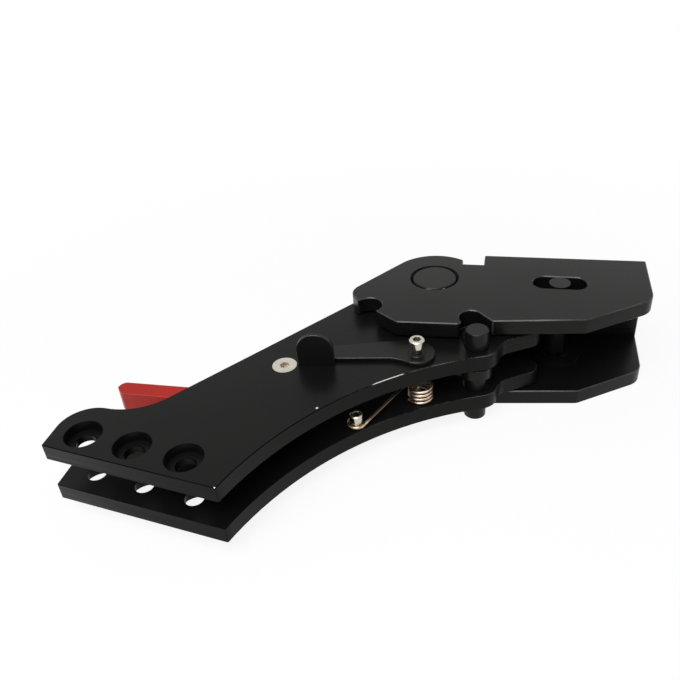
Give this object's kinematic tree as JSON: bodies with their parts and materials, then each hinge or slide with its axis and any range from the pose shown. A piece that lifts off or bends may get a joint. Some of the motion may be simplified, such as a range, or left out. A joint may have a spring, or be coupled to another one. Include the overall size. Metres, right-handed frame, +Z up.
{
  "type": "scooter folding mechanism",
  "caption": "Folding joint of a stand-up scooter: curved double arm, forked head on a pivot pin, red release lever with lock pin, and a sprung safety catch.",
  "frame": {"origin": "centre of the bounding box, on the outer face of the lower cheek, which the part lies on", "axes": "+X along the head's back edge from the deck end to the stem end, +Y towards the back edge, +Z up along the pivot pin"},
  "size_m": [0.2528, 0.1739, 0.0569],
  "materials": {
    "arm_black": "satin black anodised",
    "head_black": "satin black anodised",
    "red": "satin red anodised",
    "dark_steel": "blackened",
    "steel": "turned",
    "stainless": "bright stainless",
    "bronze": "turned",
    "catch_black": "satin black",
    "spring_wire": "drawn wire"
  },
  "bodies": {
    "arm": {"arm_plate_upper": "arm_black", "arm_plate_lower": "arm_black", "pivot_bush_upper": "bronze", "pivot_bush_lower": "bronze", "pivot_spacer": "steel", "lever_sleeve": "steel", "lever_screw_upper": "stainless", "lever_screw_lower": "stainless", "catch_screw": "stainless", "catch_spring": "spring_wire", "spring_post": "stainless"},
    "head": {"head_bracket": "head_black", "pivot_pin": "dark_steel"},
    "slot_slider": {"slot_pin": "dark_steel", "slot_washer_upper": "dark_steel", "slot_washer_lower": "dark_steel", "slot_clip_upper": "steel", "slot_clip_lower": "steel"},
    "lever": {"release_lever": "red", "lock_arm": "dark_steel", "lever_bush": "bronze", "lock_pin": "dark_steel"},
    "catch": {"catch_lever": "catch_black", "catch_bush": "catch_black"}
  },
  "joints": [
    {"name": "head_fold", "type": "hinge", "parent": "arm", "child": "head", "pos_m": [0.02225, 0.06167, 0.02475], "axis": [0, 0, 1], "range_deg": [0, 76]},
    {"name": "release_lever", "type": "hinge", "parent": "arm", "child": "lever", "pos_m": [-0.03915, -0.00793, 0.02475], "axis": [0, 0, 1], "range_deg": [0, 7]},
    {"name": "safety_catch", "type": "hinge", "parent": "arm", "child": "catch", "pos_m": [0.02035, 0.00587, 0.04025], "axis": [0, 0, 1], "range_deg": [0, 25], "stiffness_Nm_per_rad": 0.03, "springref_deg": -20.05},
    {"name": "slot_pin_slide", "type": "slide", "parent": "head", "child": "slot_slider", "axis": [1, 0, 0], "range_m": [-0.0071, 0.0071]}
  ]
}
